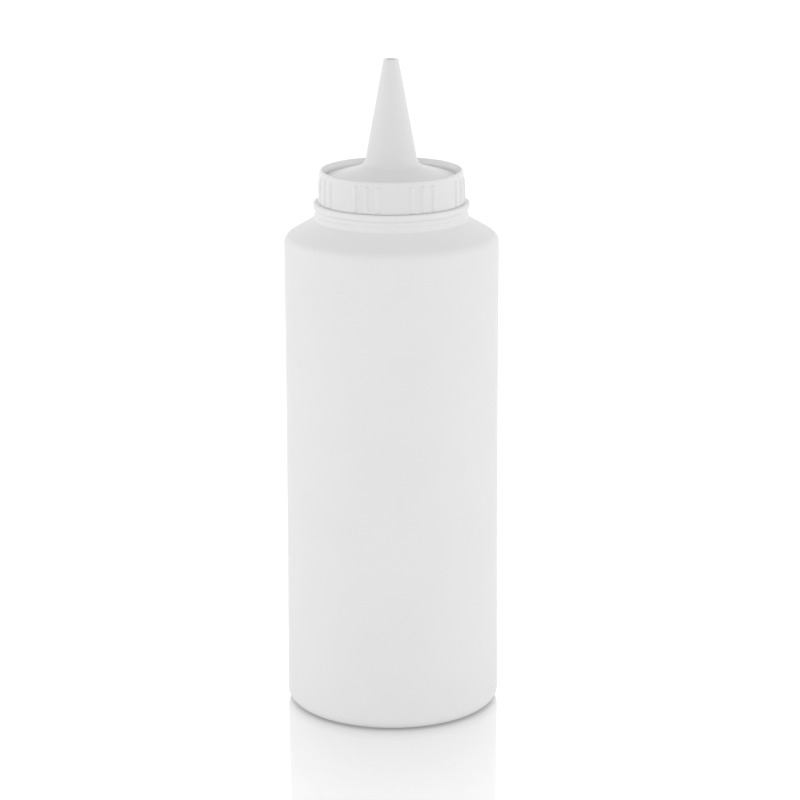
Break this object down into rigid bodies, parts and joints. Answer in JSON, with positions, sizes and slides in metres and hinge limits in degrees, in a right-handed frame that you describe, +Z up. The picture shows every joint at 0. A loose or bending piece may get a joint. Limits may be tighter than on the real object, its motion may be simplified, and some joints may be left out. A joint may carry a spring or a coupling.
{
  "type": "squeeze sauce bottle",
  "caption": "Tall round squeeze bottle for sauces with a sloped shoulder, a ribbed screw ring and a straight conical spout.",
  "frame": {"origin": "centre of the base, on the surface that the bottle stands on", "axes": "+Z up along the bottle's axis, -Y towards the front"},
  "size_m": [0.0756, 0.0756, 0.231],
  "materials": {
    "bottle_plastic": "soft white polyethylene with a satin, slightly waxy skin",
    "closure_plastic": "white moulded polyethylene, satin to gloss",
    "nozzle_plastic": "white moulded polyethylene, satin to gloss",
    "washer": "off-white soft elastomer, matt"
  },
  "bodies": {
    "bottle": {"bottle": "bottle_plastic"},
    "nozzle": {"nozzle": "nozzle_plastic", "seal_washer": "washer"},
    "collar": {"collar": "closure_plastic"}
  },
  "joints": [
    {"name": "closure_lift", "type": "slide", "parent": "bottle", "child": "nozzle", "axis": [0, 0, 1], "range_m": [0, 0.005]},
    {"name": "collar_turn", "type": "hinge", "parent": "nozzle", "child": "collar", "pos_m": [0, 0, 0.187], "axis": [0, 0, 1], "range_deg": [0, 720]}
  ],
  "couplings": [
    {"joint": "closure_lift", "follows": "collar_turn", "m_per_rad": 0.00039789}
  ]
}
